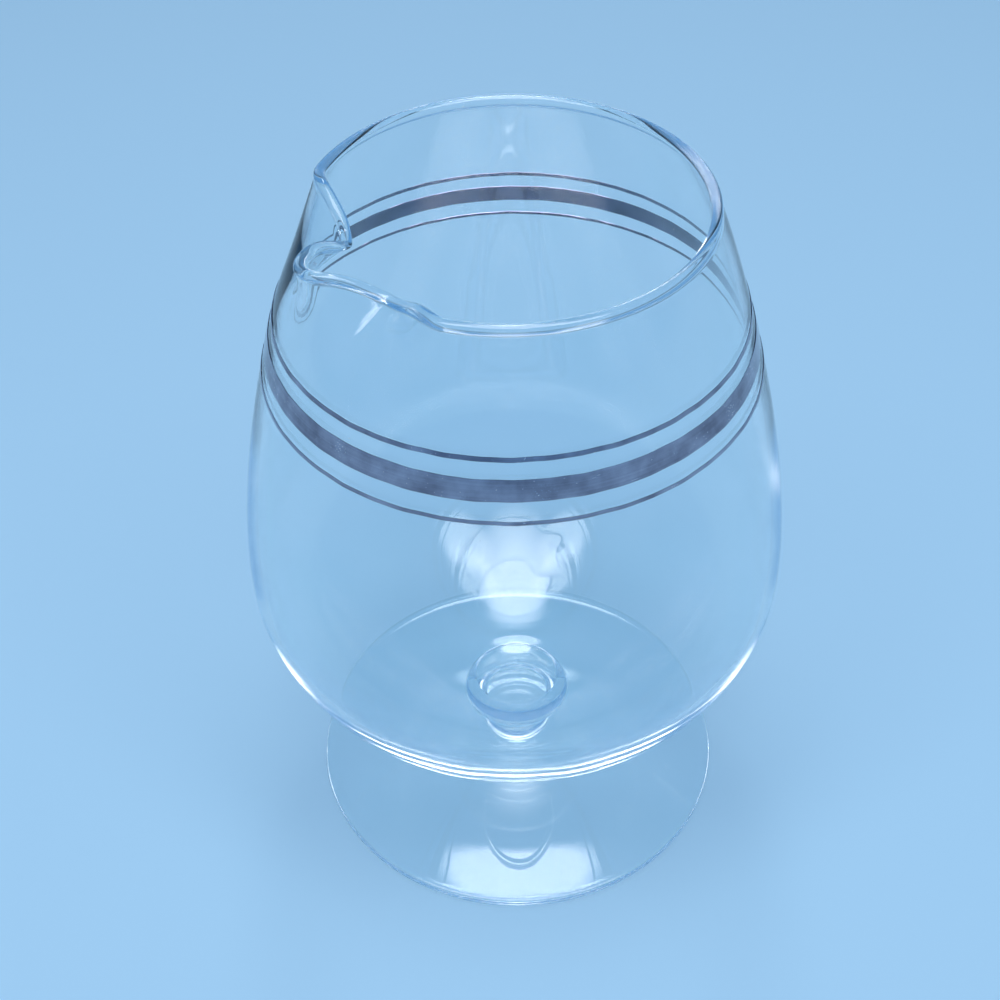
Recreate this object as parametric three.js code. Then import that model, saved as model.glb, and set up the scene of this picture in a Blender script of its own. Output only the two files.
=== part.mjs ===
// Clear glass cocktail pitcher in the shape of a footed snifter.
// Millimetres, +Z up. The foot rests on z = 0, the bowl turns about the Z axis,
// and the pouring lip points along -X.

import * as THREE from 'three';

const { clamp, degToRad, lerp } = THREE.MathUtils;

// Bowl, outside
const bowlRadius = 64.4; // at its widest line
const widestHeight = 80.7;
const sideRise = 34; // pull of the upright side on the curve above the widest line
const sideFall = 24.4; // and on the curve below it
const seatHeight = 26.5; // flat underside that the stem carries
const baseRun = 22.6; // pull of the base on the curve above the stem
const baseLean = degToRad(6.1); // climb of the base where it leaves the stem

// Rim: a round bead on the end of the wall
const rimRadius = 42; // middle of the bead
const rimHeight = 176.75;
const rimLean = degToRad(22.6); // the wall leans inward to the rim
const rimRun = 13.8; // pull of that lean on the shoulder's curve
const beadRadius = 1.25;

// Bowl, glass thickness
const rimWall = 1.7;
const sideWall = 2.2; // at the widest line
const floorWall = 4; // over the stem
const innerFall = 23; // pull of the inner side on the curve below the widest line
const innerFloorRun = 32; // pull of the inner floor

// Pouring lip: a tip pulled out of the rim between two pinches
const lipReach = 3.7; // tip beyond the rim's circle
const lipDrop = 1.27; // tip below the rim
const lipDepth = 14; // wall that is drawn out with the tip
const lipFlat = degToRad(6.6); // half of the tip that keeps its height
const pinchInset = 8.3; // pinch inside the rim's circle
const pinchDip = 6.1; // pinch below the rim
const pinchDepth = 25; // wall that is pushed in with the pinch
const pinchAngle = degToRad(19); // pinch to either side of the tip
const pinchRunOut = degToRad(46.5); // where the rim is back on its circle
const pinchHold = 1.5; // above 1 the rim stays pushed in longer beside the pinch
const dipRunOut = degToRad(43.2); // where the rim is back at its height
const dipHold = 1.2; // above 1 the rim stays low longer beside the pinch

// Fired metal rings, from the rim down
const ringsBelowRim = 23.4;
const upperLineHeight = 1;
const upperGap = 3.6;
const broadBandHeight = 4.65;
const lowerGap = 4.1;
const lowerLineHeight = 0.8;
const ringFilm = 0.15;
const ringClearance = 0.05;

// Stem: a knop close under the bowl, then a waist
const stemTopRadius = 11.3;
const topRun = 1.7; // pull of the top on the curve down to the knop
const topLean = degToRad(33);
const knopRadius = 14.6;
const knopDrop = 5.7; // widest line of the knop below the bowl
const stemWaistRadius = 9.4;
const stemWaistShare = 0.29; // place of the waist between the foot and the bowl
const stemBaseRadius = 15;
const stemPull = 0.4; // share of a span in which the knop's and the waist's curves stay upright

// Foot
const footRadius = 53.5;
const footEdgeRadius = 1.25; // half of the rounded edge's thickness
const footSeatHeight = 7.5; // flat top that carries the stem
const footClimbRun = 17; // pull of the climb to the stem on the top's curve
const footClimb = degToRad(15);
const hollowRadius = 43; // shallow hollow inside the ring that the foot stands on
const hollowDepth = 1;

// Facets
const lipSteps = 36; // columns across the lip
const plainSteps = 32; // columns round the rest of the bowl
const curveSteps = 10; // spans along one curve of the bowl's outline
const wallRows = 6; // spans between the widest line and the rings
const lipRows = 6; // spans down the drawn wall
const beadSteps = 8;
const turnedSteps = 5; // spans along one curve of the stem's or the foot's outline
const stemSegments = 40;
const footSegments = 52;
const searchSteps = 40; // halvings that find a height on a curve

const glass = new THREE.MeshStandardMaterial({
  color: '#d9ecf6',
  roughness: 0.03,
  metalness: 0,
  transparent: true,
  opacity: 0.35,
});
const firedSilver = new THREE.MeshStandardMaterial({
  color: '#a9acb4',
  roughness: 0.12,
  metalness: 1,
});

// Half a cosine wave, from 0 to 1.
function ease(share) {
  return (1 - Math.cos(Math.PI * clamp(share, 0, 1))) / 2;
}

// A curve that leaves one point and reaches another along given directions.
function outlineCurve(start, startPull, end, endPull) {
  return new THREE.CubicBezierCurve(start, start.clone().add(startPull), end.clone().add(endPull), end);
}

const widest = new THREE.Vector2(bowlRadius, widestHeight);
const baseEdge = new THREE.Vector2(stemTopRadius, seatHeight);
const rimOutside = new THREE.Vector2(rimRadius + rimWall / 2, rimHeight);
const innerWidest = new THREE.Vector2(bowlRadius - sideWall, widestHeight);
const innerFloor = new THREE.Vector2(0, seatHeight + floorWall);

const lowerCurve = outlineCurve(
  baseEdge,
  new THREE.Vector2(Math.cos(baseLean), Math.sin(baseLean)).multiplyScalar(baseRun),
  widest,
  new THREE.Vector2(0, -sideFall),
);
const upperCurve = outlineCurve(
  widest,
  new THREE.Vector2(0, sideRise),
  rimOutside,
  new THREE.Vector2(Math.sin(rimLean), -Math.cos(rimLean)).multiplyScalar(rimRun),
);
const innerLowerCurve = outlineCurve(
  innerWidest,
  new THREE.Vector2(0, -innerFall),
  innerFloor,
  new THREE.Vector2(innerFloorRun, 0),
);

// Radius of the bowl's outside at a height above its widest line.
function outsideRadius(height) {
  let low = 0;
  let high = 1;
  for (let step = 0; step < searchSteps; step += 1) {
    const middle = (low + high) / 2;
    if (upperCurve.getPoint(middle).y < height) {
      low = middle;
    } else {
      high = middle;
    }
  }
  return upperCurve.getPoint(low).x;
}

function wallAt(height) {
  return lerp(sideWall, rimWall, (height - widestHeight) / (rimHeight - widestHeight));
}

// How far the lip moves the wall outward and down, by angle from the lip's axis
// and by depth below the rim.
function lipShift(angle, depth) {
  const side = Math.abs(angle);
  const drawn = clamp(1 - depth / lipDepth, 0, 1) ** 2;
  const pushed = clamp(1 - depth / pinchDepth, 0, 1) ** 2;
  const pinchOut = -pinchInset * pushed;
  const pinchDown = pinchDip * pushed;
  if (side < pinchAngle) {
    return {
      outward: lerp(lipReach * drawn, pinchOut, ease(side / pinchAngle)),
      down: lerp(lipDrop * drawn, pinchDown, ease((side - lipFlat) / (pinchAngle - lipFlat))),
    };
  }
  return {
    outward: pinchOut * (1 - ease(((side - pinchAngle) / (pinchRunOut - pinchAngle)) ** pinchHold)),
    down: pinchDown * (1 - ease(((side - pinchAngle) / (dipRunOut - pinchAngle)) ** dipHold)),
  };
}

// Middle of the wall's thickness above the widest line, before and after the lip is drawn.
function middleRadius(height) {
  return outsideRadius(height) - wallAt(height) / 2;
}

function wallMiddle(angle, height) {
  const shift = lipShift(angle, rimHeight - height);
  const radius = middleRadius(height) + shift.outward;
  return new THREE.Vector3(-radius * Math.cos(angle), -radius * Math.sin(angle), height - shift.down);
}

// A point beside the wall's middle, square to the wall as seen from above.
function wallPoint(angle, height, outward, upward = 0) {
  const probe = 1e-4;
  const run = wallMiddle(angle + probe, height).sub(wallMiddle(angle - probe, height));
  const square = new THREE.Vector3(run.y, -run.x, 0).normalize();
  const point = wallMiddle(angle, height).addScaledVector(square, outward);
  point.z += upward;
  return point;
}

// Angles from the lip's axis, close together across the lip.
function columnAngles() {
  const angles = [];
  for (let step = 0; step < lipSteps; step += 1) {
    angles.push(lerp(-pinchRunOut, pinchRunOut, step / lipSteps));
  }
  for (let step = 0; step < plainSteps; step += 1) {
    angles.push(lerp(pinchRunOut, 2 * Math.PI - pinchRunOut, step / plainSteps));
  }
  return angles.map((angle) => (angle > Math.PI ? angle - 2 * Math.PI : angle));
}

const columns = columnAngles();

// One ring of points at a turned outline point.
function turnedRow(outlinePoint) {
  return columns.map(
    (angle) =>
      new THREE.Vector3(
        -outlinePoint.x * Math.cos(angle),
        -outlinePoint.x * Math.sin(angle),
        outlinePoint.y,
      ),
  );
}

function wallRow(height, outward, upward) {
  return columns.map((angle) => wallPoint(angle, height, outward, upward));
}

// One ring of points on the bead, by its turn up from the outer side.
function beadRow(turn) {
  const beadHeight = rimHeight + beadRadius * Math.sin(turn);
  const height = Math.min(rimHeight, beadHeight);
  const outward = rimRadius + beadRadius * Math.cos(turn) - middleRadius(height);
  return wallRow(height, outward, beadHeight - height);
}

// Joins rings of points into one closed skin. Rings of one point close its ends,
// and without them the last ring runs back to the first.
function joinRows(rows) {
  const positions = rows.flat().flatMap((point) => point.toArray());
  const starts = [];
  let count = 0;
  for (const row of rows) {
    starts.push(count);
    count += row.length;
  }
  const faces = [];
  const closesOnItself = rows[0].length > 1;
  const spans = closesOnItself ? rows.length : rows.length - 1;
  for (let span = 0; span < spans; span += 1) {
    const next = (span + 1) % rows.length;
    for (let column = 0; column < columns.length; column += 1) {
      const beside = (column + 1) % columns.length;
      const a = starts[span] + (rows[span].length > 1 ? column : 0);
      const b = starts[span] + (rows[span].length > 1 ? beside : 0);
      const c = starts[next] + (rows[next].length > 1 ? beside : 0);
      const d = starts[next] + (rows[next].length > 1 ? column : 0);
      if (a !== b) {
        faces.push(a, b, c);
      }
      if (c !== d) {
        faces.push(a, c, d);
      }
    }
  }
  const geometry = new THREE.BufferGeometry();
  geometry.setAttribute('position', new THREE.Float32BufferAttribute(positions, 3));
  geometry.setIndex(faces);
  geometry.computeVertexNormals();
  return geometry;
}

// Heights from one level to another, without the first.
function levels(from, to, spans) {
  return Array.from({ length: spans }, (unused, step) => lerp(from, to, (step + 1) / spans));
}

const upperLineTop = rimHeight - ringsBelowRim;
const upperLineBottom = upperLineTop - upperLineHeight;
const broadBandTop = upperLineBottom - upperGap;
const broadBandBottom = broadBandTop - broadBandHeight;
const lowerLineTop = broadBandBottom - lowerGap;
const lowerLineBottom = lowerLineTop - lowerLineHeight;

function makeBowl() {
  const beadTurn = Math.acos((rimWall * Math.cos(rimLean)) / 2 / beadRadius);
  const beadStart = rimLean - beadTurn; // where the wall's outside runs into the bead
  const beadEnd = Math.PI + rimLean + beadTurn; // and its inside
  const ringEdges = [
    lowerLineBottom,
    lowerLineTop,
    broadBandBottom,
    broadBandTop,
    upperLineBottom,
    upperLineTop,
  ];
  const outsideLevels = [
    ...levels(widestHeight, lowerLineBottom, wallRows).slice(0, -1),
    ...ringEdges,
    ...levels(upperLineTop, rimHeight + beadRadius * Math.sin(beadStart), lipRows).slice(0, -1),
  ];
  const insideLevels = [
    ...levels(rimHeight + beadRadius * Math.sin(beadEnd), upperLineTop, lipRows),
    ...levels(upperLineTop, widestHeight, wallRows).slice(0, -1),
  ];
  const rows = [[new THREE.Vector3(0, 0, seatHeight)]];
  for (const point of lowerCurve.getPoints(curveSteps)) {
    rows.push(turnedRow(point));
  }
  for (const height of outsideLevels) {
    rows.push(wallRow(height, wallAt(height) / 2));
  }
  for (let step = 0; step <= beadSteps; step += 1) {
    rows.push(beadRow(lerp(beadStart, beadEnd, step / beadSteps)));
  }
  for (const height of insideLevels) {
    rows.push(wallRow(height, -wallAt(height) / 2));
  }
  for (const point of innerLowerCurve.getPoints(curveSteps).slice(0, -1)) {
    rows.push(turnedRow(point));
  }
  rows.push([new THREE.Vector3(innerFloor.x, 0, innerFloor.y)]);
  return joinRows(rows);
}

// A thin fired ring that lies on the bowl's outside between two heights.
function makeRing(bottom, top) {
  const under = (height) => wallAt(height) / 2 + ringClearance;
  return joinRows([
    wallRow(bottom, under(bottom)),
    wallRow(bottom, under(bottom) + ringFilm),
    wallRow(top, under(top) + ringFilm),
    wallRow(top, under(top)),
  ]);
}

// Turns an outline of radius and height about the Z axis.
function turned(outline, segments) {
  const geometry = new THREE.LatheGeometry(outline.getPoints(turnedSteps), segments);
  geometry.rotateX(Math.PI / 2);
  return geometry;
}

function makeStem() {
  const waistHeight = lerp(footSeatHeight, seatHeight, stemWaistShare);
  const knopHeight = seatHeight - knopDrop;
  const topPull = knopDrop * stemPull;
  const middlePull = (knopHeight - waistHeight) * stemPull;
  const basePull = (waistHeight - footSeatHeight) * stemPull;
  const outline = new THREE.Path();
  outline.moveTo(0, footSeatHeight);
  outline.lineTo(stemBaseRadius, footSeatHeight);
  outline.bezierCurveTo(
    stemWaistRadius,
    footSeatHeight + basePull * Math.sin(footClimb),
    stemWaistRadius,
    waistHeight - basePull,
    stemWaistRadius,
    waistHeight,
  );
  outline.bezierCurveTo(
    stemWaistRadius,
    waistHeight + middlePull,
    knopRadius,
    knopHeight - middlePull,
    knopRadius,
    knopHeight,
  );
  outline.bezierCurveTo(
    knopRadius,
    knopHeight + topPull,
    stemTopRadius + topRun * Math.cos(topLean),
    seatHeight - topRun * Math.sin(topLean),
    stemTopRadius,
    seatHeight,
  );
  outline.lineTo(0, seatHeight);
  return turned(outline, stemSegments);
}

function makeFoot() {
  const flatRadius = footRadius - footEdgeRadius;
  const climbRadius = stemBaseRadius + footClimbRun * Math.cos(footClimb);
  const climbHeight = footSeatHeight - footClimbRun * Math.sin(footClimb);
  const outline = new THREE.Path();
  outline.moveTo(0, hollowDepth);
  outline.quadraticCurveTo(hollowRadius / 2, hollowDepth, hollowRadius, 0);
  outline.lineTo(flatRadius, 0);
  outline.absarc(flatRadius, footEdgeRadius, footEdgeRadius, -Math.PI / 2, Math.PI / 2);
  outline.quadraticCurveTo(climbRadius, climbHeight, stemBaseRadius, footSeatHeight);
  outline.lineTo(0, footSeatHeight);
  return turned(outline, footSegments);
}

function addPiece(group, name, geometry, material) {
  const piece = new THREE.Mesh(geometry, material);
  piece.name = name;
  group.add(piece);
}

const pitcher = new THREE.Group();
addPiece(pitcher, 'bowl', makeBowl(), glass);
addPiece(pitcher, 'stem', makeStem(), glass);
addPiece(pitcher, 'foot', makeFoot(), glass);
addPiece(pitcher, 'upper_line', makeRing(upperLineBottom, upperLineTop), firedSilver);
addPiece(pitcher, 'broad_band', makeRing(broadBandBottom, broadBandTop), firedSilver);
addPiece(pitcher, 'lower_line', makeRing(lowerLineBottom, lowerLineTop), firedSilver);

export default pitcher;
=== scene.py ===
import bisect
import math
import bpy
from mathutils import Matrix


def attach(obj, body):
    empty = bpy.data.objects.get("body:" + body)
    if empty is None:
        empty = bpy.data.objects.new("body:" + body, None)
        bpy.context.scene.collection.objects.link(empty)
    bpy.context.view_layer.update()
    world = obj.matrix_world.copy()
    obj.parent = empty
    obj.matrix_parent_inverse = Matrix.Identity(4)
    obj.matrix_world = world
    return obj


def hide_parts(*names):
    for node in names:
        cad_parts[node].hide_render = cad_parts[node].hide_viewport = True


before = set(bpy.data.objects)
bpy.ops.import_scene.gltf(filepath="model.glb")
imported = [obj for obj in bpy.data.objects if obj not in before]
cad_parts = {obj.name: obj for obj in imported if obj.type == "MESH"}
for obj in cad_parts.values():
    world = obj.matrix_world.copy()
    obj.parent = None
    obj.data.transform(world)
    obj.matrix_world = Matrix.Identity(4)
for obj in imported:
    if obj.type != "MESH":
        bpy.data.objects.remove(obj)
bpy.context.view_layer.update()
scene = bpy.context.scene
print("frame loaded:", ", ".join(sorted(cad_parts)))


def mm(length):
    return length / 1000


def hexColour(code):
    channels = [int(code[at:at + 2], 16) / 255 for at in (1, 3, 5)]
    linear = [c / 12.92 if c <= 0.04045 else ((c + 0.055) / 1.055) ** 2.4 for c in channels]
    return (*linear, 1)


# settings and links go by the name or number of a socket, settings also by the node's own property
def addNode(tree, kind, settings, links=None):
    node = tree.nodes.new(kind)
    for name, value in settings.items():
        if isinstance(name, str) and hasattr(node, name):
            setattr(node, name, value)
        else:
            node.inputs[name].default_value = value
    for name, socket in (links or {}).items():
        tree.links.new(socket, node.inputs[name])
    return node


def newMaterial(name):
    material = bpy.data.materials.new(name)
    material.use_nodes = True
    material.node_tree.nodes.clear()
    return material, material.node_tree


# camera, where the photograph was taken from
cameraView = {
    "place": (-120.64, -240.91, 350.52),  # mm
    "turn": (46.364, 0.952, -26.797),  # degrees
    "lens": 55.8,
    "near": 10,  # mm, nothing closer is drawn
}
bpy.ops.object.select_all(action="DESELECT")
bpy.ops.object.camera_add(
    location=[mm(v) for v in cameraView["place"]],
    rotation=[math.radians(v) for v in cameraView["turn"]],
)
camera = bpy.context.active_object
camera.name = "photo_camera"
camera.data.lens = cameraView["lens"]
camera.data.clip_start = mm(cameraView["near"])
scene.camera = camera
print("camera set")


# blown soda-lime glass, fire-polished: clear, with a slow ripple, wiping haze and a few dust specks
glassLook = {
    "tint": ("#f3fafb", "#ffffff"),
    "rippleSize": 26,  # mm between swells
    "rippleHeight": 0.035,  # mm
    "hazeSize": (30, 12),  # mm along and across a wiped streak
    "hazeTurn": (0.5, 0.3, 0),  # radians, the way the cloth went
    "hazeRange": (0.5, 0.8),  # noise from which a streak starts and is at its full
    "hazeRoughness": 0.05,
    "dustGap": 7,  # mm between specks
    "dustSize": 0.22,  # mm, half of a speck
    "dustRoughness": 0.5,
    "shade": ("#feffff", "#93a9bb"),  # light let through to the table, straight and at a slant
    "shadeFall": 3,  # how late the slant starts to count
    "ior": 1.52,
}


def makeGlass():
    material, tree = newMaterial("clear_soda_lime_glass")
    place = addNode(tree, "ShaderNodeTexCoord", {}).outputs["Object"]
    ripple = addNode(tree, "ShaderNodeTexNoise", {
        "Scale": 1 / mm(glassLook["rippleSize"]), "Detail": 1.0,
    }, {"Vector": place})
    bump = addNode(tree, "ShaderNodeBump", {
        "Strength": 1.0, "Distance": mm(glassLook["rippleHeight"]),
    }, {"Height": ripple.outputs["Fac"]})
    tint = addNode(tree, "ShaderNodeMix", {
        "data_type": "RGBA",
        6: hexColour(glassLook["tint"][0]), 7: hexColour(glassLook["tint"][1]),
    }, {0: ripple.outputs["Fac"]})
    along, across = glassLook["hazeSize"]
    streak = addNode(tree, "ShaderNodeMapping", {
        "Scale": (1 / mm(along), 1 / mm(along), 1 / mm(across)), "Rotation": glassLook["hazeTurn"],
    }, {"Vector": place})
    wiped = addNode(tree, "ShaderNodeTexNoise", {
        "Scale": 1.0, "Detail": 4.0, "Distortion": 0.6,
    }, {"Vector": streak.outputs["Vector"]})
    start, full = glassLook["hazeRange"]
    haze = addNode(tree, "ShaderNodeMapRange", {
        "From Min": start, "From Max": full, "To Max": glassLook["hazeRoughness"],
    }, {"Value": wiped.outputs["Fac"]})
    specks = addNode(tree, "ShaderNodeTexVoronoi", {
        "Scale": 1 / mm(glassLook["dustGap"])}, {"Vector": place})
    dust = addNode(tree, "ShaderNodeMapRange", {
        "From Min": glassLook["dustSize"] / glassLook["dustGap"], "From Max": 0.0,
        "To Max": glassLook["dustRoughness"],
    }, {"Value": specks.outputs["Distance"]})
    dull = addNode(tree, "ShaderNodeMath", {"operation": "MAXIMUM"}, {
        0: haze.outputs["Result"], 1: dust.outputs["Result"]})
    glass = addNode(tree, "ShaderNodeBsdfPrincipled", {
        "Transmission Weight": 1.0, "IOR": glassLook["ior"],
    }, {
        "Base Color": tint.outputs[2], "Normal": bump.outputs["Normal"],
        "Roughness": dull.outputs["Value"]})
    path = addNode(tree, "ShaderNodeLightPath", {})
    slant = addNode(tree, "ShaderNodeLayerWeight", {"Blend": 0.5})
    slant = addNode(tree, "ShaderNodeMath", {
        "operation": "POWER", 1: glassLook["shadeFall"]}, {0: slant.outputs["Facing"]})
    passed = addNode(tree, "ShaderNodeMix", {
        "data_type": "RGBA",
        6: hexColour(glassLook["shade"][0]), 7: hexColour(glassLook["shade"][1]),
    }, {0: slant.outputs["Value"]})
    clear = addNode(tree, "ShaderNodeBsdfTransparent", {}, {"Color": passed.outputs[2]})
    bounced = addNode(tree, "ShaderNodeMixShader", {}, {
        0: path.outputs["Is Diffuse Ray"], 1: glass.outputs["BSDF"], 2: clear.outputs["BSDF"]})
    lamped = addNode(tree, "ShaderNodeMixShader", {}, {
        0: path.outputs["Is Shadow Ray"], 1: bounced.outputs["Shader"], 2: clear.outputs["BSDF"]})
    addNode(tree, "ShaderNodeOutputMaterial", {}, {"Surface": lamped.outputs["Shader"]})
    return material


# where two pieces were fused hot there is no surface left to see
def makeFusedJoint():
    material, tree = newMaterial("fused_glass_joint")
    joint = addNode(tree, "ShaderNodeBsdfPrincipled", {"Alpha": 0.0, "Roughness": 0.0})
    addNode(tree, "ShaderNodeOutputMaterial", {}, {"Surface": joint.outputs["BSDF"]})
    return material


# fired silver film: a dark mirror with a cloudy bloom, faint lines from polishing, pin specks,
# hair scratches and rubbed patches; the back, where it is seen through the glass, is painted shade,
# a darker purple-grey copy of the film
silverLook = {
    "front": ("#837d8a", "#b4aebb"),
    # painted shade: the back is a darker copy of the front, for the band seen through the glass
    "back": ("#554f63", "#787288"),
    "cloudSize": 6,  # mm
    "lineSize": (40, 0.5),  # mm along and across, coarser than the real lines so that they show
    "lineShare": 0.25,  # of the bloom, the rest is cloud
    "bloomRange": (0.35, 0.65),  # noise at which the film is darkest and lightest
    "lineRelief": (0.15, 0.01),  # strength, and depth in mm
    "speckGap": 2.2,  # mm
    "speckSize": 0.16,  # mm, half of a speck
    "scratchSize": (14, 0.8),  # mm between scratches, along and across
    "scratchTurn": (0.4, 0.9, 0.5),  # radians
    "scratchEdge": (0.12, 0.05),  # share of that gap at which a scratch starts and is at its full
    "scratchDepth": 0.5,
    "rubGap": 8,  # mm between patches where the film is rubbed
    "rubRange": (0.56, 0.7),  # noise from which a patch starts and is at its full
    "rubGrain": (0.6, 0.2),  # mm between bright grains in such a patch, and half of a grain
    "worn": "#d9dde4",
    "roughness": (0.05, 0.15),
    "wornRoughness": 0.4,  # added where the film is worn
}


def makeSilver(name, colours):
    look = silverLook
    material, tree = newMaterial(name)
    place = addNode(tree, "ShaderNodeTexCoord", {}).outputs["Object"]
    cloud = addNode(tree, "ShaderNodeTexNoise", {
        "Scale": 1 / mm(look["cloudSize"]), "Detail": 4.0}, {"Vector": place})
    along, across = look["lineSize"]
    flat = addNode(tree, "ShaderNodeMapping", {
        "Scale": (1 / mm(along), 1 / mm(along), 1 / mm(across))}, {"Vector": place})
    lines = addNode(tree, "ShaderNodeTexNoise", {
        "Scale": 1.0, "Detail": 2.0}, {"Vector": flat.outputs["Vector"]})
    bloom = addNode(tree, "ShaderNodeMath", {
        "operation": "MULTIPLY", 1: look["lineShare"]}, {0: lines.outputs["Fac"]})
    bloom = addNode(tree, "ShaderNodeMath", {"operation": "MULTIPLY_ADD", 1: 1 - look["lineShare"]}, {
        0: cloud.outputs["Fac"], 2: bloom.outputs["Value"]})
    darkest, lightest = look["bloomRange"]
    shade = addNode(tree, "ShaderNodeMapRange", {
        "From Min": darkest, "From Max": lightest}, {"Value": bloom.outputs["Value"]})
    base = addNode(tree, "ShaderNodeMix", {
        "data_type": "RGBA", 6: hexColour(colours[0]), 7: hexColour(colours[1]),
    }, {0: shade.outputs["Result"]})

    specks = addNode(tree, "ShaderNodeTexVoronoi", {
        "Scale": 1 / mm(look["speckGap"])}, {"Vector": place})
    speck = addNode(tree, "ShaderNodeMapRange", {
        "From Min": look["speckSize"] / look["speckGap"], "From Max": 0.0,
    }, {"Value": specks.outputs["Distance"]})
    along, across = look["scratchSize"]
    hair = addNode(tree, "ShaderNodeMapping", {
        "Scale": (1 / mm(along), 1 / mm(across), 1 / mm(across)), "Rotation": look["scratchTurn"],
    }, {"Vector": place})
    hairs = addNode(tree, "ShaderNodeTexVoronoi", {
        "Scale": 1.0}, {"Vector": hair.outputs["Vector"]})
    start, full = look["scratchEdge"]
    scratch = addNode(tree, "ShaderNodeMapRange", {
        "From Min": start, "From Max": full, "To Max": look["scratchDepth"],
    }, {"Value": hairs.outputs["Distance"]})
    patches = addNode(tree, "ShaderNodeTexNoise", {
        "Scale": 1 / mm(look["rubGap"]), "Detail": 1.0}, {"Vector": place})
    start, full = look["rubRange"]
    patch = addNode(tree, "ShaderNodeMapRange", {
        "From Min": start, "From Max": full}, {"Value": patches.outputs["Fac"]})
    gap, size = look["rubGrain"]
    grains = addNode(tree, "ShaderNodeTexVoronoi", {"Scale": 1 / mm(gap)}, {"Vector": place})
    grain = addNode(tree, "ShaderNodeMapRange", {
        "From Min": size / gap, "From Max": 0.0}, {"Value": grains.outputs["Distance"]})
    rub = addNode(tree, "ShaderNodeMath", {"operation": "MULTIPLY"}, {
        0: patch.outputs["Result"], 1: grain.outputs["Result"]})
    wear = addNode(tree, "ShaderNodeMath", {"operation": "MAXIMUM"}, {
        0: speck.outputs["Result"], 1: scratch.outputs["Result"]})
    wear = addNode(tree, "ShaderNodeMath", {"operation": "MAXIMUM"}, {
        0: wear.outputs["Value"], 1: rub.outputs["Value"]})

    colour = addNode(tree, "ShaderNodeMix", {
        "data_type": "RGBA", 7: hexColour(look["worn"]),
    }, {0: wear.outputs["Value"], 6: base.outputs[2]})
    smooth, dull = look["roughness"]
    rough = addNode(tree, "ShaderNodeMapRange", {"To Min": smooth, "To Max": dull}, {
        "Value": cloud.outputs["Fac"]})
    rough = addNode(tree, "ShaderNodeMath", {"operation": "MULTIPLY_ADD", 1: look["wornRoughness"]}, {
        0: wear.outputs["Value"], 2: rough.outputs["Result"]})
    strength, depth = look["lineRelief"]
    relief = addNode(tree, "ShaderNodeBump", {"Strength": strength, "Distance": mm(depth)}, {
        "Height": lines.outputs["Fac"]})
    metal = addNode(tree, "ShaderNodeBsdfPrincipled", {"Metallic": 1.0}, {
        "Base Color": colour.outputs[2], "Roughness": rough.outputs["Value"],
        "Normal": relief.outputs["Normal"]})
    addNode(tree, "ShaderNodeOutputMaterial", {}, {"Surface": metal.outputs["BSDF"]})
    return material


glass = makeGlass()
fusedJoint = makeFusedJoint()
silverFront = makeSilver("fired_silver_film", silverLook["front"])
# the back gets a darker copy of the film, painted shade
silverBackPaintedShade = makeSilver("fired_silver_film_back_painted_shade", silverLook["back"])
print("materials made")


def curveRun(start, startPull, end, endPull, spans):
    points = []
    for step in range(1, spans + 1):
        t = step / spans
        weights = ((1 - t) ** 3, 3 * t * (1 - t) ** 2, 3 * t * t * (1 - t), t ** 3)
        pulls = (start, (start[0] + startPull[0], start[1] + startPull[1]),
                 (end[0] + endPull[0], end[1] + endPull[1]), end)
        points.append(tuple(sum(w * p[axis] for w, p in zip(weights, pulls)) for axis in (0, 1)))
    return points


# a disc is extruded ring by ring along an outline of (radius, height) in mm
def turnPiece(name, outline, columns, closeWith):
    bpy.ops.object.select_all(action="DESELECT")
    radius, height = outline[0]
    bpy.ops.mesh.primitive_circle_add(
        vertices=columns, radius=mm(radius), fill_type="TRIFAN", location=(0, 0, mm(height)))
    piece = bpy.context.active_object
    piece.name = name
    piece.data.name = name
    bpy.ops.object.mode_set(mode="EDIT")
    bpy.ops.mesh.select_mode(type="EDGE")
    bpy.ops.mesh.select_all(action="SELECT")
    bpy.ops.mesh.region_to_loop()
    for nextRadius, nextHeight in outline[1:]:
        bpy.ops.mesh.extrude_edges_move(
            TRANSFORM_OT_translate={"value": (0, 0, mm(nextHeight - height))})
        share = nextRadius / radius
        bpy.ops.transform.resize(value=(share, share, 1), center_override=(0, 0, mm(nextHeight)))
        radius, height = nextRadius, nextHeight
    if closeWith == "point":
        bpy.ops.mesh.merge(type="CENTER")
    else:
        bpy.ops.mesh.edge_face_add()
        bpy.ops.mesh.poke()
    bpy.ops.mesh.select_all(action="SELECT")
    bpy.ops.mesh.normals_make_consistent(inside=False)
    bpy.ops.mesh.select_all(action="DESELECT")
    bpy.ops.object.mode_set(mode="OBJECT")
    bpy.ops.object.transform_apply(location=True, rotation=True, scale=True)
    bpy.ops.object.shade_smooth()
    return piece


jointTolerance = 0.001  # mm


# the faces at a joint's height get the fused look, the rest the glass
def dressGlass(piece, jointHeights):
    piece.data.materials.clear()
    piece.data.materials.append(glass)
    piece.data.materials.append(fusedJoint)
    for face in piece.data.polygons:
        level = any(
            all(abs(piece.data.vertices[at].co.z - mm(height)) < mm(jointTolerance)
                for at in face.vertices)
            for height in jointHeights
        )
        face.material_index = 1 if level else 0
    bpy.ops.object.mode_set(mode="EDIT")
    piece.active_material_index = 1
    bpy.ops.object.material_slot_select()
    bpy.ops.mesh.region_to_loop()
    bpy.ops.mesh.mark_sharp()
    bpy.ops.mesh.select_all(action="DESELECT")
    bpy.ops.object.mode_set(mode="OBJECT")
    piece.active_material_index = 0


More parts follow.
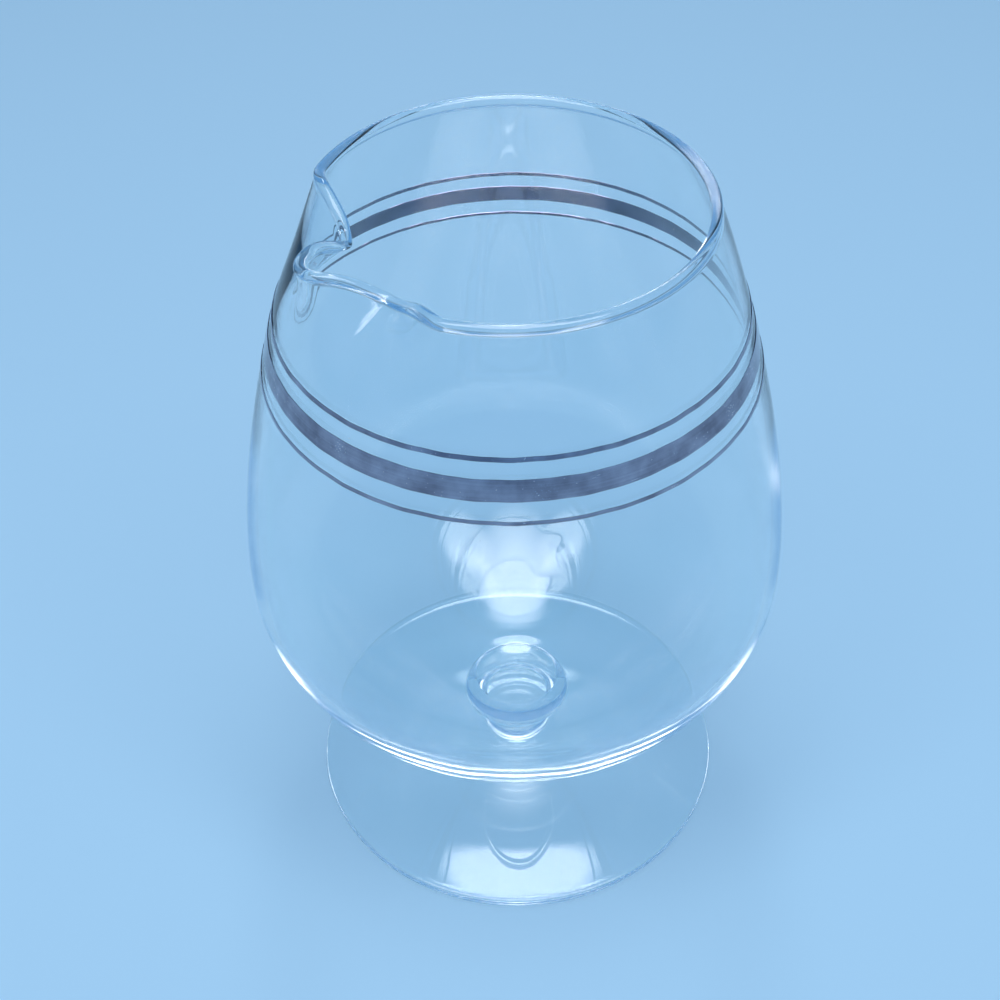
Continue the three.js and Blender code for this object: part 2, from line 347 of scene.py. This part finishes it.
# the shapes below are in mm and degrees, with points as (radius, height)
bowlShape = {
    "seat": (11.3, 26.5), "baseRun": 22.6, "baseLean": 6.1,
    "widest": (64.4, 80.7), "sideFall": 24.4, "sideRise": 34,
    "rim": (42, 176.75), "rimLean": 22.6, "rimRun": 13.8, "bead": 1.25,
    "rimWall": 1.7, "sideWall": 2.2,
    "floor": 30.5, "innerFall": 23, "innerFloorRun": 32,
    "columns": 300, "lowerSpans": 36, "outsideSpans": 56, "beadSpans": 20, "insideSpans": 44,
    "floorSpans": 40,
    "beadGap": 0.3,  # mm, no row of the wall is closer to the bead
}
lipShape = {
    "reach": 3.7, "drop": 1.27, "depth": 14, "flat": 6.6,
    "pinchInset": 8.3, "pinchDip": 6.1, "pinchDepth": 25, "pinchAngle": 19,
    "pinchRunOut": 46.5, "pinchHold": 1.5, "dipRunOut": 43.2, "dipHold": 1.2,
}


def lean(length, degrees):
    return (length * math.cos(math.radians(degrees)), length * math.sin(math.radians(degrees)))


def upperOutside(spans):
    shape = bowlShape
    rimOutside = (shape["rim"][0] + shape["rimWall"] / 2, shape["rim"][1])
    pullIn, pullDown = lean(shape["rimRun"], 90 - shape["rimLean"])
    return curveRun(shape["widest"], (0, shape["sideRise"]), rimOutside, (pullIn, -pullDown), spans)


outsideTable = [bowlShape["widest"]] + upperOutside(2000)  # fine enough to look heights up in
outsideHeights = [point[1] for point in outsideTable]


def outsideAt(height):
    at = min(max(bisect.bisect_left(outsideHeights, height), 1), len(outsideTable) - 1)
    (r0, z0), (r1, z1) = outsideTable[at - 1], outsideTable[at]
    return r0 + (r1 - r0) * (height - z0) / (z1 - z0)


def wallAt(height):
    shape = bowlShape
    share = (height - shape["widest"][1]) / (shape["rim"][1] - shape["widest"][1])
    return shape["sideWall"] + (shape["rimWall"] - shape["sideWall"]) * share


def middleAt(height):
    return outsideAt(height) - wallAt(height) / 2


def ease(share):
    return (1 - math.cos(math.pi * min(max(share, 0), 1))) / 2


# how far the lip moves the wall outward and down
def lipShift(angle, depth):
    shape = lipShape
    side = abs(math.degrees(angle))
    drawn = max(1 - depth / shape["depth"], 0) ** 2
    pushed = max(1 - depth / shape["pinchDepth"], 0) ** 2
    pinchOut, pinchDown = -shape["pinchInset"] * pushed, shape["pinchDip"] * pushed
    if side < shape["pinchAngle"]:
        out = ease(side / shape["pinchAngle"])
        down = ease((side - shape["flat"]) / (shape["pinchAngle"] - shape["flat"]))
        return (shape["reach"] * drawn * (1 - out) + pinchOut * out,
                shape["drop"] * drawn * (1 - down) + pinchDown * down)
    past = side - shape["pinchAngle"]
    out = ease((past / (shape["pinchRunOut"] - shape["pinchAngle"])) ** shape["pinchHold"])
    down = ease((past / (shape["dipRunOut"] - shape["pinchAngle"])) ** shape["dipHold"])
    return pinchOut * (1 - out), pinchDown * (1 - down)


def wallMiddle(angle, height):
    outward, down = lipShift(angle, bowlShape["rim"][1] - height)
    radius = middleAt(height) + outward
    return -radius * math.cos(angle), -radius * math.sin(angle), height - down


# pulls the tip of the lip out of the turned rim and pushes the two pinches in
def drawLip(piece):
    rimHeight = bowlShape["rim"][1]
    turnStep = 1e-4  # radians, to either side of a point to find which way the wall runs
    for vertex in piece.data.vertices:
        x, y, z = (v * 1000 for v in vertex.co)
        height = min(z, rimHeight)
        if height < rimHeight - lipShape["pinchDepth"]:
            continue
        angle = math.atan2(-y, -x)
        outward = math.hypot(x, y) - middleAt(height)
        before, after = wallMiddle(angle - turnStep, height), wallMiddle(angle + turnStep, height)
        run = (after[0] - before[0], after[1] - before[1])
        size = math.hypot(*run)
        middle = wallMiddle(angle, height)
        vertex.co = (
            mm(middle[0] + outward * run[1] / size),
            mm(middle[1] - outward * run[0] / size),
            mm(middle[2] + z - height),
        )
    piece.data.update()


def makeBowl():
    shape = bowlShape
    rimRadius, rimHeight = shape["rim"]
    thin = shape["rimWall"] * math.cos(math.radians(shape["rimLean"])) / 2
    beadTurn = math.degrees(math.acos(thin / shape["bead"]))
    turnFrom, turnTo = shape["rimLean"] - beadTurn, 180 + shape["rimLean"] + beadTurn
    bead = []
    for step in range(shape["beadSpans"] + 1):
        out, up = lean(shape["bead"], turnFrom + (turnTo - turnFrom) * step / shape["beadSpans"])
        bead.append((rimRadius + out, rimHeight + up))
    outsideEnd, insideStart = bead[0][1] - shape["beadGap"], bead[-1][1] - shape["beadGap"]
    outside = [(r, z) for r, z in upperOutside(shape["outsideSpans"]) if z < outsideEnd]
    inside = [(r - wallAt(z), z) for r, z in upperOutside(shape["insideSpans"]) if z < insideStart]
    inside.reverse()
    innerWidest = (shape["widest"][0] - shape["sideWall"], shape["widest"][1])
    basePull = lean(shape["baseRun"], shape["baseLean"])
    lower = curveRun(
        shape["seat"], basePull,
        shape["widest"], (0, -shape["sideFall"]), shape["lowerSpans"])
    floor = curveRun(
        innerWidest, (0, -shape["innerFall"]),
        (0, shape["floor"]), (shape["innerFloorRun"], 0), shape["floorSpans"])
    outline = [shape["seat"]] + lower + outside + bead + inside + [innerWidest] + floor[:-1]
    bowl = turnPiece("glass_bowl", outline, shape["columns"], "point")
    drawLip(bowl)
    dressGlass(bowl, [shape["seat"][1]])
    return bowl


stemShape = {
    "topRun": 1.7, "topLean": 33, "knop": (14.6, 20.8), "waist": (9.4, 13.01), "base": (15, 7.5),
    "pull": 0.4, "footClimb": 15,
    "columns": 96, "topSpans": 16, "middleSpans": 24, "baseSpans": 20,
}


def makeStem():
    shape = stemShape
    top = bowlShape["seat"]
    topPull = (top[1] - shape["knop"][1]) * shape["pull"]
    middlePull = (shape["knop"][1] - shape["waist"][1]) * shape["pull"]
    basePull = (shape["waist"][1] - shape["base"][1]) * shape["pull"]
    out, down = lean(shape["topRun"], shape["topLean"])
    climb = lean(basePull, shape["footClimb"])[1]
    reach = shape["base"][0] - shape["waist"][0]
    upper = curveRun(top, (out, -down), shape["knop"], (0, topPull), shape["topSpans"])
    middle = curveRun(
        shape["knop"], (0, -middlePull), shape["waist"], (0, middlePull), shape["middleSpans"])
    lower = curveRun(shape["waist"], (0, -basePull), shape["base"], (-reach, climb), shape["baseSpans"])
    stem = turnPiece("glass_stem", [top] + upper + middle + lower, shape["columns"], "face")
    dressGlass(stem, [top[1], shape["base"][1]])
    return stem


footShape = {
    "radius": 53.5, "edge": 1.25, "climbRun": 17, "hollow": (43, 1),
    "columns": 180, "topSpans": 40, "edgeSpans": 16, "underSpans": 24,
}


def quadraticRun(start, pull, end, spans):
    startPull = [(p - a) * 2 / 3 for a, p in zip(start, pull)]
    endPull = [(p - a) * 2 / 3 for a, p in zip(end, pull)]
    return curveRun(start, startPull, end, endPull, spans)


def makeFoot():
    shape = footShape
    seat = stemShape["base"]
    flat = shape["radius"] - shape["edge"]
    run, climb = lean(shape["climbRun"], stemShape["footClimb"])
    top = quadraticRun(
        seat, (seat[0] + run, seat[1] - climb), (flat, 2 * shape["edge"]), shape["topSpans"])
    edge = []
    for step in range(1, shape["edgeSpans"] + 1):
        out, up = lean(shape["edge"], 90 - 180 * step / shape["edgeSpans"])
        edge.append((flat + out, shape["edge"] + up))
    hollowRadius, hollowDepth = shape["hollow"]
    under = quadraticRun(
        (hollowRadius, 0), (hollowRadius / 2, hollowDepth), (0, hollowDepth), shape["underSpans"])
    outline = [seat] + top + edge + [(hollowRadius, 0)] + under[:-1]
    foot = turnPiece("glass_foot", outline, shape["columns"], "point")
    dressGlass(foot, [seat[1]])
    return foot


ringShape = {
    "upper_line": (152.35, 153.35), "broad_band": (144.1, 148.75), "lower_line": (139.2, 140),
    "clearance": 0.03, "film": 0.1, "columns": 216, "rowHeight": 0.5,
    "waver": 0.1,  # mm, the edges were brushed on by hand
    "waves": (11, 29, 47),  # round the ring
    "smoothBelow": 40,  # degrees
}


def makeRing(node):
    bottom, top = ringShape[node]
    spans = max(2, round((top - bottom) / ringShape["rowHeight"]))
    levels = [bottom + (top - bottom) * step / spans for step in range(spans + 1)]
    bpy.ops.object.select_all(action="DESELECT")
    bpy.ops.mesh.primitive_circle_add(
        vertices=ringShape["columns"], fill_type="NOTHING",
        radius=mm(outsideAt(bottom) + ringShape["clearance"]), location=(0, 0, mm(bottom)))
    ring = bpy.context.active_object
    ring.name = "silver_" + node
    ring.data.name = ring.name
    bpy.ops.object.mode_set(mode="EDIT")
    bpy.ops.mesh.select_mode(type="EDGE")
    bpy.ops.mesh.select_all(action="SELECT")
    radius, height = outsideAt(bottom) + ringShape["clearance"], bottom
    for level in levels[1:]:
        nextRadius = outsideAt(level) + ringShape["clearance"]
        bpy.ops.mesh.extrude_edges_move(
            TRANSFORM_OT_translate={"value": (0, 0, mm(level - height))})
        share = nextRadius / radius
        bpy.ops.transform.resize(value=(share, share, 1), center_override=(0, 0, mm(level)))
        radius, height = nextRadius, level
    bpy.ops.mesh.select_all(action="SELECT")
    bpy.ops.mesh.normals_make_consistent(inside=False)
    bpy.ops.object.mode_set(mode="OBJECT")
    bpy.ops.object.transform_apply(location=True, rotation=True, scale=True)
    for vertex in ring.data.vertices:
        height, turn = vertex.co.z * 1000, math.atan2(vertex.co.y, vertex.co.x)
        long, medium, short = (count * turn for count in ringShape["waves"])
        swing = math.sin(long + top) + math.sin(medium + bottom) + math.sin(short)
        share = abs(height - (bottom + top) / 2) * 2 / (top - bottom)  # 0 midway, 1 at an edge
        height += ringShape["waver"] * swing / 3 * share
        radius = outsideAt(height) + ringShape["clearance"]
        vertex.co = (mm(radius * math.cos(turn)), mm(radius * math.sin(turn)), mm(height))
    skin = ring.modifiers.new("film", "SOLIDIFY")
    skin.thickness = mm(ringShape["film"])
    skin.offset = 1
    skin.material_offset = 1
    skin.material_offset_rim = 1
    ring.data.materials.clear()
    ring.data.materials.append(silverFront)
    ring.data.materials.append(silverBackPaintedShade)
    bpy.ops.object.modifier_apply(modifier=skin.name)
    bpy.ops.object.shade_smooth_by_angle(angle=math.radians(ringShape["smoothBelow"]))
    return ring


bowl = makeBowl()
stem = makeStem()
foot = makeFoot()
print("glass turned and lip drawn")
rings = {node: makeRing(node) for node in ("upper_line", "broad_band", "lower_line")}
print("rings made")

for piece, node in ((bowl, "bowl"), (stem, "stem"), (foot, "foot")):
    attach(piece, "root")
    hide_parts(node)
for node, ring in rings.items():
    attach(ring, "root")
    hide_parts(node)

# plain pale table that runs into the backdrop, under soft lamps
studio = {
    "table": "#9ccaf0",
    "backdrop": "#5c97d0",
    "tableSize": 8000,  # mm, as all places and sizes here
    "tableDrop": 0.02,  # the foot stands a hair above the table
    "tableRoughness": 0.85,
    "tableGloss": 0.2,
    "tableFade": (450, 1700),  # where the table starts and ends to take the backdrop's colour
    "ambient": 0.06,
    "aim": (0, 0, 80),
    "glow": (0.25, 1.74),  # how far out a softbox is even before it fades, and the gain for it
    "softboxes": {  # place, size, watts
        "overhead_softbox": ((-161, -321, 2000), (1350, 2350), 25),
        "right_softbox": ((443, -1026, 2000), (980, 1350), 10.5),
        "left_softbox": ((-1089, -259, 2000), (980, 1350), 10.5),
        "back_softbox": ((457, 913, 2000), (560, 360), 4.5),
    },
}
bpy.ops.object.select_all(action="DESELECT")
bpy.ops.mesh.primitive_plane_add(
    size=mm(studio["tableSize"]), location=(0, 0, -mm(studio["tableDrop"])))
table = bpy.context.active_object
table.name = "table"


# 1 for what the camera, glass and metal see, 0 for light that falls on things
def seenDirectly(tree):
    path = addNode(tree, "ShaderNodeLightPath", {})
    seen = addNode(tree, "ShaderNodeMath", {"operation": "MAXIMUM"}, {
        0: path.outputs["Is Camera Ray"], 1: path.outputs["Is Transmission Ray"]})
    seen = addNode(tree, "ShaderNodeMath", {"operation": "MAXIMUM"}, {
        0: seen.outputs["Value"], 1: path.outputs["Is Glossy Ray"]})
    return seen.outputs["Value"]


tableLook, tree = newMaterial("pale_table")
place = addNode(tree, "ShaderNodeTexCoord", {}).outputs["Object"]
reach = addNode(tree, "ShaderNodeVectorMath", {"operation": "LENGTH"}, {0: place})
far = addNode(tree, "ShaderNodeMapRange", {
    "interpolation_type": "SMOOTHSTEP",
    "From Min": mm(studio["tableFade"][0]), "From Max": mm(studio["tableFade"][1]),
}, {"Value": reach.outputs["Value"]})
far = addNode(tree, "ShaderNodeMath", {"operation": "MULTIPLY"}, {
    0: far.outputs["Result"], 1: seenDirectly(tree)})
near = addNode(tree, "ShaderNodeBsdfPrincipled", {
    "Base Color": hexColour(studio["table"]),
    "Roughness": studio["tableRoughness"], "Specular IOR Level": studio["tableGloss"],
})
away = addNode(tree, "ShaderNodeEmission", {
    "Color": hexColour(studio["backdrop"]), "Strength": 1.0})
tableSurface = addNode(tree, "ShaderNodeMixShader", {}, {
    0: far.outputs["Value"], 1: near.outputs["BSDF"], 2: away.outputs["Emission"]})
addNode(tree, "ShaderNodeOutputMaterial", {}, {"Surface": tableSurface.outputs["Shader"]})
table.data.materials.append(tableLook)


def addSoftbox(name, place, size, power):
    bpy.ops.object.light_add(type="AREA", location=[mm(v) for v in place])
    lamp = bpy.context.active_object
    lamp.name = name
    lamp.data.shape = "ELLIPSE"
    lamp.data.size = mm(size[0])
    lamp.data.size_y = mm(size[1])
    lamp.data.energy = power
    direction = [a - p for a, p in zip(studio["aim"], place)]
    flat = math.hypot(direction[0], direction[1])
    lamp.rotation_euler = (
        math.atan2(flat, -direction[2]), 0, math.atan2(direction[1], direction[0]) - math.pi / 2)
    lamp.data.use_nodes = True
    tree = lamp.data.node_tree
    tree.nodes.clear()
    spot = addNode(tree, "ShaderNodeNewGeometry", {}).outputs["Parametric"]
    spot = addNode(tree, "ShaderNodeVectorMath", {
        "operation": "SUBTRACT", 1: (0.5, 0.5, 0)}, {0: spot})
    reach = addNode(tree, "ShaderNodeVectorMath", {
        "operation": "LENGTH"}, {0: spot.outputs["Vector"]})
    even, gain = studio["glow"]
    glow = addNode(tree, "ShaderNodeMapRange", {
        "interpolation_type": "SMOOTHSTEP",
        "From Min": 0.5, "From Max": even, "To Max": gain,  # 0.5 is the softbox's edge
    }, {"Value": reach.outputs["Value"]})
    cloth = addNode(tree, "ShaderNodeEmission", {}, {"Strength": glow.outputs["Result"]})
    addNode(tree, "ShaderNodeOutputLight", {}, {"Surface": cloth.outputs["Emission"]})


for name, (place, size, power) in studio["softboxes"].items():
    addSoftbox(name, place, size, power)

world = bpy.data.worlds.new("studio_air")
scene.world = world
world.use_nodes = True
tree = world.node_tree
tree.nodes.clear()
light = addNode(tree, "ShaderNodeBackground", {
    "Color": (1, 1, 1, 1), "Strength": studio["ambient"]})
backdrop = addNode(tree, "ShaderNodeBackground", {
    "Color": hexColour(studio["backdrop"]), "Strength": 1.0})
either = addNode(tree, "ShaderNodeMixShader", {}, {
    0: seenDirectly(tree), 1: light.outputs["Background"], 2: backdrop.outputs["Background"]})
addNode(tree, "ShaderNodeOutputWorld", {}, {"Surface": either.outputs["Shader"]})
print("studio lit")

scene.view_settings.view_transform = "Standard"
glassBounces = 96  # light runs round inside thick glass many times
scene.cycles.max_bounces = glassBounces
scene.cycles.glossy_bounces = glassBounces
scene.cycles.transmission_bounces = glassBounces
scene.cycles.transparent_max_bounces = 32
scene.cycles.use_denoising = True
